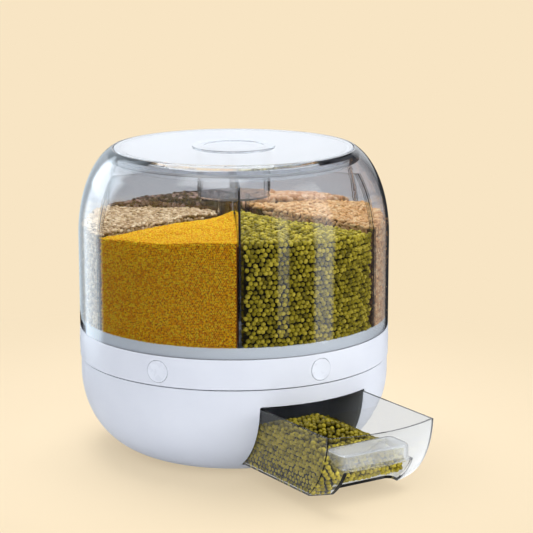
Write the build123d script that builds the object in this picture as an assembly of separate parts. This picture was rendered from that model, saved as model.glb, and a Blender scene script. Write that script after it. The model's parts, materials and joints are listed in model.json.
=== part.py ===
from build123d import *
import math
import os

# Rotating six-compartment grain dispenser, millimetres, +Z up.
# The origin is on the spin axis, on the surface that the foot ring stands on.
# The drawer pulls out along -Y.

# Clearances
MOVE_GAP = 0.3            # between faces that move past each other
SEAT_GAP = 0.3            # between pieces that drop into one another and stay put
SHAFT_GAP = 0.03          # radial, spindle in its bush
SCREW_GAP = 0.1           # radial, screw shank in its hole

# Base bowl
BODY_R = 145.0            # outer radius of the clear barrel
BASE_INSET = 0.6          # the bowl is this much smaller in radius than the barrel
FOOT_PROUD = 1.5          # how far the foot ring stands below the bowl
BASE_WALL = 3.0
BOWL_ARC_R = 62.2         # radial half-axis of the bowl's elliptical corner
BOWL_ARC_H = 74.6         # upright half-axis of the same corner

# Deck that closes the base
DECK_T = 3.0
DECK_DROP = 2.0           # deck top below the bowl's top edge
CHUTE_DROP = 10.3         # from the deck's underside down to the drawer opening's top
CHUTE_MARGIN = 7.0        # chute wider than the outlet, on each side
CHUTE_RUN = 8.5           # chute longer than the outlet, at each end
CHUTE_WALL = 2.0
DECK_POST_EDGE = 15.4     # deck screws in from the bowl's inner wall
DECK_POST_ANGLE = 30.0    # of the first screw from the X axis
POST_DIA = 10.0

# Drawer, drawn closed and then pulled out
DRAWER_HALF_W = 56.0
DRAWER_HEIGHT = 59.0
DRAWER_WALL = 2.2
DRAWER_BACK = 30.0        # back face behind the spin axis when closed
DRAWER_PULL = 103.0       # how far it is out in the rest pose
DRAWER_SIDE_GAP = 0.6     # to the opening and the guide walls
DRAWER_TOP_GAP = 2.2      # to the top of the opening
DRAWER_CORNER_R = 6.0     # upright back corners
DRAWER_EDGE_R = 3.0       # long lower edges
OPENING_CORNER_R = 2.0

# Finger pocket moulded into the drawer's front
POCKET_HALF_W = 34.0
POCKET_MOUTH_H = 25.5     # height of the mouth above the drawer's underside
POCKET_ROOF_H = 36.5      # height of the space behind the lip
POCKET_DEPTH = 26.0       # from the lip's hidden side to the pocket's back
LIP_DEPTH = 18.4          # lip's hidden side inside the bowl's radius when closed
POCKET_CORNER_R = 6.0     # upright corners of the finger space
POCKET_EDGE_R = 1.0       # upper edges of the finger space

# Guide channel that the drawer runs in
GUIDE_WALL = 2.0
GUIDE_LIFT = 6.1          # guide floor above the bowl's floor
RUNNER_H = 0.6
RUNNER_W = 6.0
RUNNER_HALF_SPAN = 40.0
GUIDE_EAR_W = 13.0
GUIDE_EAR_L = 16.0
GUIDE_EAR_FRONT = -50.0   # Y of the front pair of ears
GUIDE_EAR_REAR = 5.0      # Y of the rear pair

# Foot ring and glide pads
FOOT_W = 8.0
FOOT_EDGE = 7.2           # foot ring inside the edge of the bowl's flat bottom
FOOT_SUNK = 1.5
PAD_DIA = 14.0
PAD_STEM_DIA = 6.0
PAD_EDGE = 10.4           # pad centres in from the bowl's inner wall
PAD_COUNT = 6

# Spindle and its fastening
SPINDLE_DIA = 14.0
SPINDLE_FLANGE_DIA = 26.0
SPINDLE_FLANGE_T = 3.0
BUSH_WALL = 2.0
HUB_WALL = 4.0
HEAD_ROOM = 5.1           # above the retaining screw's head
WASHER_DIA = 24.0
WASHER_T = 1.5
AXLE_SCREW_DIA = 5.0
AXLE_SCREW_HEAD_DIA = 9.0
AXLE_SCREW_HEAD_H = 3.4
AXLE_SCREW_LENGTH = 14.0
SCREW_DIA = 4.0
SCREW_HEAD_DIA = 7.0
SCREW_HEAD_H = 2.2
SCREW_LENGTH = 12.0
PILOT_EXTRA = 2.0         # depth of a screw hole past the screw's tip

# Turntable: the white ring with the buttons, and the floor under it
SEAM_GAP = 1.2            # open line between bowl and ring
TRAY_PROUD = 0.2          # ring radius over the barrel's
TRAY_WALL = 2.8
TRAY_FLOOR_T = 2.4
LEDGE_W = 4.4             # ledges in the ring: the hopper floor rests on one, the other on the tray floor
LEDGE_T = 2.0
LEDGE_DROP = 1.9          # ledge top below the ring's top edge

# Compartments
COMPARTMENTS = 6
HOPPER_FLOOR_T = 2.5
COLLAR_TOP = 10.2         # collar height above the ring's top edge
COLLAR_WALL = 2.4
OUTLET_LENGTH = 9.0       # along the radius
OUTLET_WIDTH = 44.0
SPOUT_WALL = 2.0
SPOUT_FLANGE_W = 2.0      # flange that carries the spout on the hopper floor
SPOUT_FLANGE_T = 1.0
SPOUT_FUNNEL = 1.8        # chamfer of the outlet's upper edge
TRAY_SCREW_EDGE = 22.4    # tray screws in from the ring's inner wall
TRAY_POST_DIA = 9.0

# Valves: button, gate and return spring
BUTTON_DIA = 19.8
BUTTON_GAP = 0.4          # radial, button in its hole
BUTTON_ROOM = 0.55        # above and below the button inside the ring
BUTTON_LENGTH = 15.0
BUTTON_WALL = 2.0
BUTTON_DISH = 0.8         # depth of the dished face
TAB_REACH = 4.2           # stop tabs beside the button
TAB_H = 8.0
TAB_T = 2.0
TAB_CLEAR = 1.4           # tab to the ring's inner wall at the middle of the button
GATE_T = 3.0
GATE_SIDE = 3.0           # plate beside the window
GATE_LEAD = 29.5          # plate on the inner side of the closed outlet
GATE_LAND = 3.0           # plate between the closed outlet and the window: the travel is this and one outlet
GATE_TAIL = 10.7          # plate between the window and the upstand
GATE_UPSTAND_T = 3.0
GATE_UPSTAND_W = 18.0
SPIGOT_LENGTH = 4.0
RAIL_T = 2.0
RAIL_H = 3.4
SPRING_DIA = 10.0
SPRING_WIRE = 1.0
SPRING_SIDES = 6          # flats round the wire
SPRING_TURNS = 6
SPRING_LENGTH = 20.0
SPRING_PIN_DIA = 7.0
SPRING_PIN_LENGTH = 2.5
SPRING_SEAT_T = 2.4

# Barrel
BARREL_WALL = 2.4
BARREL_STRAIGHT = 85.3    # upright part above the ring
CROWN_INSIDE = 12.3       # the shoulder's crown lies this far inside the lid's rebate
SHOULDER_H = 84.9         # upright half-axis of the shoulder
RIM_LAND = 1.3            # width of the rim outside the lid's rebate
REBATE_W = 4.5            # ledge that the lid's edge rests over
REBATE_DEPTH = 3.6
BEAD_W = 8.5
BEAD_H = 10.5
RIB_DEPTH = 3.0
RIB_T = 1.2

# Divider insert
VANE_T = 2.0
VANE_GAP = 0.6            # vane edges to the barrel
POST_R = 16.0
POST_WALL = 2.0
VANE_TOP_GAP = 1.6        # vane tops to the lid's skirt
CUP_GAP = 2.0             # vanes and post to the desiccant cup

# Lid, desiccant cup and cap
LID_R = 111.4
LID_GAP = 0.6             # radial, lid's edge in its rebate
LID_T = 3.7
LID_EDGE_R = 1.2          # rounding of the lid's upper edge
LID_SKIRT_H = 11.8
LID_SKIRT_WALL = 2.9
LID_SKIRT_GAP = 0.6
SEAL_W = 2.6
SEAL_DEPTH = 1.6
SEAL_RISE = 3.6           # groove above the skirt's lower edge
CUP_R = 34.3
CUP_WALL = 1.8
CUP_DEPTH = 44.2
CUP_FLANGE_W = 4.1
CUP_FLANGE_T = 1.0
LID_RECESS = 1.9          # recess round the cup's hole
CAP_T = 1.8
CAP_RING_R = 28.0         # sunk middle of the cap
CAP_SUNK = 0.6
CAP_PLUG_WALL = 2.0
CAP_PLUG_H = 4.0

QUARTER = 90.0            # degrees in a quarter turn

# Levels and radii worked out from the sizes above
BASE_Z0 = FOOT_PROUD
BASE_R = BODY_R - BASE_INSET
BASE_IN_R = BASE_R - BASE_WALL
DECK_POST_R = BASE_IN_R - DECK_POST_EDGE
PAD_R = BASE_IN_R - PAD_EDGE
FOOT_R = BASE_R - BOWL_ARC_R - FOOT_EDGE
GUIDE_Z0 = BASE_Z0 + BASE_WALL + GUIDE_LIFT
GUIDE_FLOOR_TOP = GUIDE_Z0 + GUIDE_WALL
RUNNER_TOP = GUIDE_FLOOR_TOP + RUNNER_H
DRAWER_Z0 = RUNNER_TOP + MOVE_GAP
DRAWER_TOP = DRAWER_Z0 + DRAWER_HEIGHT
OPENING_HALF_W = DRAWER_HALF_W + DRAWER_SIDE_GAP
OPENING_TOP = DRAWER_TOP + DRAWER_TOP_GAP
GUIDE_OUT = OPENING_HALF_W + GUIDE_WALL
POCKET_LIP_BACK = BASE_R - LIP_DEPTH
POCKET_BACK = POCKET_LIP_BACK - POCKET_DEPTH
DECK_Z0 = OPENING_TOP + CHUTE_DROP
DECK_TOP = DECK_Z0 + DECK_T
BASE_TOP = DECK_TOP + DECK_DROP
TRAY_Z0 = BASE_TOP + SEAM_GAP
TRAY_FLOOR_TOP = TRAY_Z0 + TRAY_FLOOR_T
BUTTON_Z = TRAY_FLOOR_TOP + BUTTON_ROOM + BUTTON_DIA / 2
LEDGE_TOP = BUTTON_Z + BUTTON_DIA / 2 + BUTTON_ROOM + LEDGE_T
TRAY_TOP = LEDGE_TOP + LEDGE_DROP
TRAY_R = BODY_R + TRAY_PROUD
TRAY_IN_R = TRAY_R - TRAY_WALL
TRAY_SCREW_R = TRAY_IN_R - TRAY_SCREW_EDGE
HOPPER_Z0 = LEDGE_TOP
HOPPER_FLOOR_TOP = HOPPER_Z0 + HOPPER_FLOOR_T
HUB_TOP = HOPPER_Z0 - HEAD_ROOM - AXLE_SCREW_HEAD_H - WASHER_T - MOVE_GAP
COLLAR_Z1 = TRAY_TOP + COLLAR_TOP
COLLAR_R = min(TRAY_IN_R, BODY_R - BARREL_WALL) - SEAT_GAP
GATE_Z0 = TRAY_FLOOR_TOP + MOVE_GAP
GATE_TOP = GATE_Z0 + GATE_T
SPOUT_Z0 = GATE_TOP + MOVE_GAP
BUTTON_BACK = TRAY_R - BUTTON_LENGTH
WINDOW_OUT = BUTTON_BACK - GATE_UPSTAND_T - GATE_TAIL
WINDOW_IN = WINDOW_OUT - OUTLET_LENGTH
OUTLET_OUT = WINDOW_IN - GATE_LAND
OUTLET_IN = OUTLET_OUT - OUTLET_LENGTH
CHUTE_R = (OUTLET_IN + OUTLET_OUT) / 2
CHUTE_LENGTH = OUTLET_LENGTH + 2 * CHUTE_RUN
CHUTE_WIDTH = OUTLET_WIDTH + 2 * CHUTE_MARGIN
GATE_HALF_W = OUTLET_WIDTH / 2 + GATE_SIDE
GATE_INNER = OUTLET_IN - GATE_LEAD
SPRING_Z = GATE_TOP + SPRING_DIA / 2 + MOVE_GAP
SPRING_SEAT_R = GATE_INNER - SPRING_LENGTH
REBATE_R = LID_R + LID_GAP
MOUTH_R = REBATE_R - REBATE_W
CROWN_R = REBATE_R - CROWN_INSIDE
SHOULDER_R = BODY_R - CROWN_R
SHOULDER_Z = TRAY_TOP + BARREL_STRAIGHT
RIM_REACH = (REBATE_R + RIM_LAND - CROWN_R) / SHOULDER_R
RIM_Z = SHOULDER_Z + SHOULDER_H * math.sqrt(1 - RIM_REACH ** 2)
REBATE_Z = RIM_Z - REBATE_DEPTH
LID_Z0 = REBATE_Z + SEAT_GAP
LID_TOP = LID_Z0 + LID_T
SKIRT_Z0 = LID_Z0 - LID_SKIRT_H
SKIRT_R = MOUTH_R - LID_SKIRT_GAP
RECESS_Z = LID_TOP - LID_RECESS
CUP_Z0 = RECESS_Z - CUP_DEPTH
CUP_TOP = RECESS_Z + CUP_FLANGE_T
CAP_Z0 = CUP_TOP + SEAT_GAP
VANE_TOP = SKIRT_Z0 - VANE_TOP_GAP
SCREW_SUNK = SCREW_HEAD_H / 2     # counterbore of the deck screws
FAR = 2 * BODY_R          # longer than any piece, for cutting tools


def slab(x0, x1, y0, y1, z0, z1):
    """Box between two corners."""
    return Pos((x0 + x1) / 2, (y0 + y1) / 2, (z0 + z1) / 2) * Box(x1 - x0, y1 - y0, z1 - z0)


def rect(r0, r1, z0, z1):
    """Rectangle in the radius and height plane."""
    return Pos((r0 + r1) / 2, (z0 + z1) / 2) * Rectangle(r1 - r0, z1 - z0)


def spin(section):
    """Solid of revolution of a radius and height section."""
    return revolve(Plane.XZ * section, Axis.Z)


def disc(radius, z0, z1, x=0.0, y=0.0):
    """Upright cylinder from z0 to z1."""
    return Pos(x, y, (z0 + z1) / 2) * Cylinder(radius, z1 - z0)


def rod(radius, x0, x1, z, y=0.0):
    """Cylinder along X at height z."""
    return Pos((x0 + x1) / 2, y, z) * Rot(0, QUARTER, 0) * Cylinder(radius, x1 - x0)


def around(count, radius, first_angle=0.0):
    """Points evenly spaced on a circle."""
    angles = [math.radians(first_angle + 360 / count * i) for i in range(count)]
    return [(radius * math.cos(a), radius * math.sin(a)) for a in angles]


def valve_turn(i):
    """Turn that brings a valve drawn along +X to compartment i, the first one over the drawer."""
    return Rot(0, 0, 360 / COMPARTMENTS * i - QUARTER)


def vane_turn(i):
    """Turn that brings a vane drawn along +X between two compartments."""
    return Rot(0, 0, 360 / COMPARTMENTS * (i + 0.5) - QUARTER)


def all_turns(shape, turn):
    """Copies of a shape for every compartment."""
    return [turn(i) * shape for i in range(COMPARTMENTS)]


def bowl_section(inset, top):
    """Section of the bowl's full volume, its surface moved inwards by inset."""
    arc_r = BASE_R - BOWL_ARC_R
    arc_z = BASE_Z0 + BOWL_ARC_H
    axes = (BOWL_ARC_R - inset, BOWL_ARC_H - inset)
    corner = EllipticalCenterArc((arc_r, arc_z), *axes, -QUARTER, arc_size=QUARTER)
    outline = Polyline(corner @ 1, (BASE_R - inset, top), (0, top), (0, BASE_Z0 + inset), corner @ 0)
    return make_face(corner + outline)


def dome_section(inset, z0):
    """Section of the barrel's full volume from z0 up, its surface moved inwards by inset."""
    axes = (SHOULDER_R - inset, SHOULDER_H - inset)
    shoulder = EllipticalCenterArc((CROWN_R, SHOULDER_Z), *axes, arc_size=QUARTER)
    crown_z = SHOULDER_Z + SHOULDER_H - inset
    outline = Polyline(shoulder @ 1, (0, crown_z), (0, z0), (BODY_R - inset, z0), shoulder @ 0)
    return make_face(shoulder + outline)


def pan_screw(dia, head_dia, head_h, length):
    """Screw with its head's underside at z = 0 and its shank pointing down."""
    head = fillet(disc(head_dia / 2, 0, head_h).edges().group_by(Axis.Z)[-1], head_h * 0.4)
    return head + disc(dia / 2, -length, 0)


def small_screw():
    return pan_screw(SCREW_DIA, SCREW_HEAD_DIA, SCREW_HEAD_H, SCREW_LENGTH)


def screw_hole(z0, z1, x, y):
    return disc(SCREW_DIA / 2 + SCREW_GAP, z0, z1, x, y)


DECK_POSTS = [(s * DECK_POST_R * math.cos(a), t * DECK_POST_R * math.sin(a))
              for a in [math.radians(DECK_POST_ANGLE)] for s in (1, -1) for t in (1, -1)]
EAR_X = GUIDE_OUT + GUIDE_EAR_W / 2
GUIDE_EARS = [(s * EAR_X, y) for s in (1, -1) for y in (GUIDE_EAR_FRONT, GUIDE_EAR_REAR)]
PADS = around(PAD_COUNT, PAD_R)
TRAY_SCREWS = around(COMPARTMENTS, TRAY_SCREW_R, 180 / COMPARTMENTS - QUARTER)


def base_shell():
    bowl = spin(bowl_section(0, BASE_TOP)) - spin(bowl_section(BASE_WALL, BASE_TOP + BASE_WALL))
    room = spin(bowl_section(BASE_WALL / 2, BASE_TOP))
    posts = [disc(POST_DIA / 2, BASE_Z0, DECK_Z0, x, y) for x, y in DECK_POSTS]
    posts += [disc(POST_DIA / 2, BASE_Z0, GUIDE_Z0, x, y) for x, y in GUIDE_EARS]
    bowl += [post & room for post in posts]
    opening_h = OPENING_TOP - RUNNER_TOP
    opening = extrude(Plane.XZ * RectangleRounded(2 * OPENING_HALF_W, opening_h, OPENING_CORNER_R), FAR)
    holes = [Pos(0, -BASE_R / 2, RUNNER_TOP + opening_h / 2) * opening]
    holes += [screw_hole(DECK_Z0 - SCREW_LENGTH, DECK_Z0, x, y) for x, y in DECK_POSTS]
    holes += [screw_hole(BASE_Z0 + BASE_WALL / 2, GUIDE_Z0, x, y) for x, y in GUIDE_EARS]
    holes += [spin(rect(FOOT_R - FOOT_W - SEAT_GAP, FOOT_R + SEAT_GAP, 0, BASE_Z0 + FOOT_SUNK))]
    return bowl - holes


def base_deck():
    grow = 2 * CHUTE_WALL
    plate = disc(BASE_IN_R - SEAT_GAP, DECK_Z0, DECK_TOP)
    plate += Pos(0, -CHUTE_R, (OPENING_TOP + DECK_Z0) / 2) * Box(
        CHUTE_WIDTH + grow, CHUTE_LENGTH + grow, DECK_Z0 - OPENING_TOP)
    holes = [Pos(0, -CHUTE_R, DECK_Z0) * Box(CHUTE_WIDTH, CHUTE_LENGTH, FAR)]
    holes += [disc(SPINDLE_DIA / 2 + SCREW_GAP, DECK_Z0, DECK_TOP)]
    for x, y in DECK_POSTS:
        holes += [screw_hole(DECK_Z0, DECK_TOP, x, y)]
        holes += [disc(SCREW_HEAD_DIA / 2 + SEAT_GAP, DECK_TOP - SCREW_SUNK, DECK_TOP, x, y)]
    holes += [disc(PAD_STEM_DIA / 2 + SCREW_GAP, DECK_Z0, DECK_TOP, x, y) for x, y in PADS]
    return plate - holes


def drawer_guide():
    back = DRAWER_BACK + MOVE_GAP
    end = back + GUIDE_WALL
    guide = slab(-GUIDE_OUT, GUIDE_OUT, -FAR, end, GUIDE_Z0, GUIDE_FLOOR_TOP)
    walls = [slab(-GUIDE_OUT, GUIDE_OUT, back, end, GUIDE_Z0, DRAWER_TOP)]
    for side in (1, -1):
        wall_x = sorted((side * OPENING_HALF_W, side * GUIDE_OUT))
        mid = side * RUNNER_HALF_SPAN
        walls += [slab(*wall_x, -FAR, end, GUIDE_Z0, DRAWER_TOP)]
        walls += [slab(mid - RUNNER_W / 2, mid + RUNNER_W / 2, -FAR, back, GUIDE_Z0, RUNNER_TOP)]
    ear_z = (GUIDE_Z0 + GUIDE_FLOOR_TOP) / 2
    walls += [Pos(x, y, ear_z) * Box(GUIDE_EAR_W, GUIDE_EAR_L, GUIDE_WALL) for x, y in GUIDE_EARS]
    guide += walls
    guide -= [screw_hole(GUIDE_Z0, GUIDE_FLOOR_TOP, x, y) for x, y in GUIDE_EARS]
    return guide & spin(bowl_section(BASE_WALL + SEAT_GAP, BASE_TOP))


def spindle():
    top = HUB_TOP + MOVE_GAP
    pin = disc(SPINDLE_FLANGE_DIA / 2, DECK_Z0 - SPINDLE_FLANGE_T, DECK_Z0)
    pin += disc(SPINDLE_DIA / 2, DECK_Z0, top)
    return pin - disc(AXLE_SCREW_DIA / 2 + SCREW_GAP, top - AXLE_SCREW_LENGTH, top)


def retaining_washer():
    z0 = HUB_TOP + MOVE_GAP
    return disc(WASHER_DIA / 2, z0, z0 + WASHER_T) - disc(AXLE_SCREW_DIA / 2 + SCREW_GAP, z0, z0 + WASHER_T)


def retaining_screw():
    screw = pan_screw(AXLE_SCREW_DIA, AXLE_SCREW_HEAD_DIA, AXLE_SCREW_HEAD_H, AXLE_SCREW_LENGTH)
    return Pos(0, 0, HUB_TOP + MOVE_GAP + WASHER_T) * screw


def glide_pads():
    head = disc(PAD_DIA / 2, DECK_TOP, TRAY_Z0 - MOVE_GAP)
    head = chamfer(head.edges().group_by(Axis.Z)[-1], (TRAY_Z0 - MOVE_GAP - DECK_TOP) / 4)
    pad = head + disc(PAD_STEM_DIA / 2, DECK_Z0, DECK_TOP)
    return Part(children=[Pos(x, y) * pad for x, y in PADS])


def foot_ring():
    ring = spin(rect(FOOT_R - FOOT_W, FOOT_R, 0, FOOT_PROUD + FOOT_SUNK))
    return chamfer(ring.edges().group_by(Axis.Z)[0], FOOT_PROUD / 3)


def deck_screws():
    return Part(children=[Pos(x, y, DECK_TOP - SCREW_SUNK) * small_screw() for x, y in DECK_POSTS])


def guide_screws():
    length = GUIDE_FLOOR_TOP - BASE_Z0 - BASE_WALL
    screw = pan_screw(SCREW_DIA, SCREW_HEAD_DIA, SCREW_HEAD_H, length)
    return Part(children=[Pos(x, y, GUIDE_FLOOR_TOP) * screw for x, y in GUIDE_EARS])


def turntable_ring():
    inner = TRAY_IN_R - LEDGE_W
    section = rect(TRAY_IN_R, TRAY_R, TRAY_Z0, TRAY_TOP) + rect(inner, TRAY_R, LEDGE_TOP - LEDGE_T, LEDGE_TOP)
    section += rect(inner, TRAY_R, TRAY_FLOOR_TOP, TRAY_FLOOR_TOP + LEDGE_T)
    hole = rod(BUTTON_DIA / 2 + BUTTON_GAP, BUTTON_BACK, FAR, BUTTON_Z)
    return spin(section) - all_turns(hole, valve_turn)


def tray_floor():
    bore = SPINDLE_DIA / 2 + SHAFT_GAP + BUSH_WALL
    section = rect(bore, TRAY_IN_R - SEAT_GAP, TRAY_Z0, TRAY_FLOOR_TOP)
    section += rect(bore, bore + HUB_WALL, TRAY_Z0, HUB_TOP)
    section += rect(SPRING_SEAT_R - SPRING_SEAT_T, SPRING_SEAT_R, TRAY_Z0, SPRING_Z + SPRING_DIA / 2)
    floor = spin(section)
    rail_y = GATE_HALF_W + MOVE_GAP
    rail = slab(GATE_INNER, WINDOW_OUT + GATE_LAND, rail_y, rail_y + RAIL_T, TRAY_Z0, TRAY_FLOOR_TOP + RAIL_H)
    pin_x = SPRING_SEAT_R - SPRING_SEAT_T / 2
    pin = rod(SPRING_PIN_DIA / 2, pin_x, SPRING_SEAT_R + SPRING_PIN_LENGTH, SPRING_Z)
    for fitting in (rail, mirror(rail, Plane.XZ), pin):
        floor += all_turns(fitting, valve_turn)
    slot = Pos(CHUTE_R, 0, TRAY_Z0) * Box(OUTLET_LENGTH + 2 * SPOUT_FUNNEL, OUTLET_WIDTH, 4 * TRAY_FLOOR_T)
    floor -= all_turns(slot, valve_turn)
    head_r = SCREW_HEAD_DIA / 2 + SEAT_GAP
    floor -= [screw_hole(TRAY_Z0, TRAY_FLOOR_TOP, x, y) for x, y in TRAY_SCREWS]
    return floor - [disc(head_r, TRAY_Z0, TRAY_Z0 + TRAY_FLOOR_T / 2, x, y) for x, y in TRAY_SCREWS]


def hub_bush():
    inner = SPINDLE_DIA / 2 + SHAFT_GAP
    return spin(rect(inner, inner + BUSH_WALL, TRAY_Z0, HUB_TOP))


def hopper_floor():
    post_in = POST_R - POST_WALL - SEAT_GAP
    section = rect(0, COLLAR_R, HOPPER_Z0, HOPPER_FLOOR_TOP)
    section += rect(post_in - POST_WALL, post_in, HOPPER_Z0, HOPPER_FLOOR_TOP + 3 * POST_WALL)
    floor = spin(section)
    floor += [disc(TRAY_POST_DIA / 2, TRAY_FLOOR_TOP, HOPPER_FLOOR_TOP, x, y) for x, y in TRAY_SCREWS]
    grow = 2 * (SPOUT_WALL + SEAT_GAP)
    slot = Pos(CHUTE_R, 0, HOPPER_Z0) * Box(OUTLET_LENGTH + grow, OUTLET_WIDTH + grow, FAR)
    floor -= all_turns(slot, valve_turn)
    return floor - [screw_hole(0, TRAY_Z0 + SCREW_LENGTH + PILOT_EXTRA, x, y) for x, y in TRAY_SCREWS]


def hopper_collar():
    return spin(rect(COLLAR_R - COLLAR_WALL, COLLAR_R, HOPPER_FLOOR_TOP, COLLAR_Z1))


def tray_screws():
    screw = Rot(180, 0, 0) * small_screw()
    return Part(children=[Pos(x, y, TRAY_Z0 + TRAY_FLOOR_T / 2) * screw for x, y in TRAY_SCREWS])


def divider_insert():
    outline = dome_section(BARREL_WALL + VANE_GAP, HOPPER_FLOOR_TOP)
    outline &= rect(POST_R - POST_WALL / 2, BODY_R, HOPPER_FLOOR_TOP, VANE_TOP)
    cup_room = CUP_R + CUP_GAP
    outline -= rect(0, cup_room, CUP_Z0 - CUP_GAP, VANE_TOP)
    outline -= rect(COLLAR_R - COLLAR_WALL - SEAT_GAP, BODY_R, HOPPER_FLOOR_TOP, COLLAR_Z1 + SEAT_GAP)
    vane = extrude(Plane.XZ * outline, VANE_T / 2, both=True)
    insert = spin(rect(POST_R - POST_WALL, POST_R, HOPPER_FLOOR_TOP, CUP_Z0 - CUP_GAP))
    return insert + all_turns(vane, vane_turn)


def barrel():
    section = dome_section(0, TRAY_TOP) - dome_section(BARREL_WALL, TRAY_TOP)
    section += dome_section(0, TRAY_TOP) & rect(MOUTH_R, MOUTH_R + BEAD_W, RIM_Z - BEAD_H, RIM_Z)
    section -= rect(0, MOUTH_R, TRAY_TOP, 2 * RIM_Z)
    section -= rect(0, REBATE_R, REBATE_Z, 2 * RIM_Z)
    section -= rect(0, BODY_R, RIM_Z, 2 * RIM_Z)
    shell = spin(section)
    band = dome_section(BARREL_WALL / 2, COLLAR_Z1) - dome_section(BARREL_WALL + RIB_DEPTH, COLLAR_Z1)
    band &= rect(MOUTH_R, BODY_R, COLLAR_Z1 + SEAT_GAP, VANE_TOP)
    rib_y = VANE_T / 2 + SEAT_GAP
    rib = Pos(0, rib_y + RIB_T / 2) * extrude(Plane.XZ * band, RIB_T / 2, both=True)
    shell += all_turns(rib, vane_turn)
    return shell + all_turns(mirror(rib, Plane.XZ), vane_turn)


def outlet_spout():
    """Spout along +X that hangs by its flange in the hopper floor, over its gate."""
    top = HOPPER_FLOOR_TOP + SPOUT_FLANGE_T
    half = OUTLET_WIDTH / 2 + SPOUT_WALL
    spout = slab(OUTLET_IN - SPOUT_WALL, OUTLET_OUT + SPOUT_WALL, -half, half, SPOUT_Z0, top)
    edge = SPOUT_WALL + SPOUT_FLANGE_W
    spout += slab(OUTLET_IN - edge, OUTLET_OUT + edge, -half - SPOUT_FLANGE_W, half + SPOUT_FLANGE_W,
                  HOPPER_FLOOR_TOP, top)
    slot = Pos(CHUTE_R, 0, HOPPER_Z0) * Box(OUTLET_LENGTH, OUTLET_WIDTH, FAR)
    wide = 2 * SPOUT_FUNNEL
    funnel = loft([
        Plane((CHUTE_R, 0, top - SPOUT_FUNNEL)) * Rectangle(OUTLET_LENGTH, OUTLET_WIDTH),
        Plane((CHUTE_R, 0, top)) * Rectangle(OUTLET_LENGTH + wide, OUTLET_WIDTH + wide),
    ])
    return spout - [slot, funnel]


def return_spring():
    """Helical spring along +X from the hub side to the gate."""
    reach = SPRING_LENGTH - 2 * SPRING_WIRE - 2 * MOVE_GAP
    coil_r = (SPRING_DIA - SPRING_WIRE) / 2
    path = Helix(reach / SPRING_TURNS, reach, coil_r)
    section = Plane(path @ 0, z_dir=path % 0) * RegularPolygon(SPRING_WIRE / 2, SPRING_SIDES)
    wire = sweep(section, path, is_frenet=True)
    return Pos(SPRING_SEAT_R + SPRING_WIRE + MOVE_GAP, 0, SPRING_Z) * Rot(0, QUARTER, 0) * wire


def button():
    """Button along +X with its face flush with the ring."""
    body = rod(BUTTON_DIA / 2, BUTTON_BACK, TRAY_R, BUTTON_Z)
    face_r = (BUTTON_DIA / 2 - BUTTON_WALL / 2) ** 2 / (2 * BUTTON_DISH) + BUTTON_DISH / 2
    body -= Pos(TRAY_R - BUTTON_DISH + face_r, 0, BUTTON_Z) * Sphere(face_r)
    tab_x = TRAY_IN_R - TAB_CLEAR
    tab_y = BUTTON_DIA / 2 + TAB_REACH
    body += slab(tab_x - TAB_T, tab_x, -tab_y, tab_y, BUTTON_Z - TAB_H / 2, BUTTON_Z + TAB_H / 2)
    return body - rod(BUTTON_DIA / 2 - BUTTON_WALL, BUTTON_BACK, TRAY_R - BUTTON_WALL - BUTTON_DISH, BUTTON_Z)


def gate():
    """Sliding plate along +X, closed, its window just outside the outlet."""
    plate = slab(GATE_INNER, BUTTON_BACK, -GATE_HALF_W, GATE_HALF_W, GATE_Z0, GATE_TOP)
    plate -= slab(WINDOW_IN, WINDOW_OUT, -OUTLET_WIDTH / 2, OUTLET_WIDTH / 2, GATE_Z0, GATE_TOP)
    plate += slab(BUTTON_BACK - GATE_UPSTAND_T, BUTTON_BACK, -GATE_UPSTAND_W / 2, GATE_UPSTAND_W / 2,
                  GATE_Z0, BUTTON_Z + BUTTON_DIA / 2 - BUTTON_WALL)
    plate += rod(BUTTON_DIA / 2 - BUTTON_WALL - SCREW_GAP, BUTTON_BACK - GATE_UPSTAND_T,
                 BUTTON_BACK + SPIGOT_LENGTH, BUTTON_Z)
    plate += slab(GATE_INNER, GATE_INNER + SPRING_SEAT_T, -SPRING_DIA / 2, SPRING_DIA / 2,
                  GATE_Z0, SPRING_Z + SPRING_DIA / 2)
    plate += rod(SPRING_PIN_DIA / 2, GATE_INNER - SPRING_PIN_LENGTH, GATE_INNER + SPRING_SEAT_T, SPRING_Z)
    return plate


def lid_panel():
    hole = CUP_R + SEAT_GAP
    section = rect(hole, LID_R, LID_Z0, LID_TOP) + rect(SKIRT_R - LID_SKIRT_WALL, SKIRT_R, SKIRT_Z0, LID_TOP)
    groove_z = SKIRT_Z0 + SEAL_RISE
    section -= rect(SKIRT_R - SEAL_DEPTH, SKIRT_R, groove_z, groove_z + SEAL_W)
    section -= rect(0, CUP_R + CUP_FLANGE_W + SEAT_GAP, RECESS_Z, 2 * LID_TOP)
    lid = spin(section)
    rim = [e for e in lid.edges().filter_by(GeomType.CIRCLE) if abs(e.radius - LID_R) < SHAFT_GAP]
    return fillet(ShapeList(rim).group_by(Axis.Z)[-1], LID_EDGE_R)


def lid_seal():
    groove_z = SKIRT_Z0 + SEAL_RISE
    return spin(rect(SKIRT_R - SEAL_DEPTH, MOUTH_R - SEAT_GAP, groove_z, groove_z + SEAL_W))


def desiccant_cup():
    section = rect(0, CUP_R, CUP_Z0, CUP_TOP) + rect(0, CUP_R + CUP_FLANGE_W, RECESS_Z, CUP_TOP)
    return spin(section - rect(0, CUP_R - CUP_WALL, CUP_Z0 + CUP_WALL, 2 * CUP_TOP))


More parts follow.
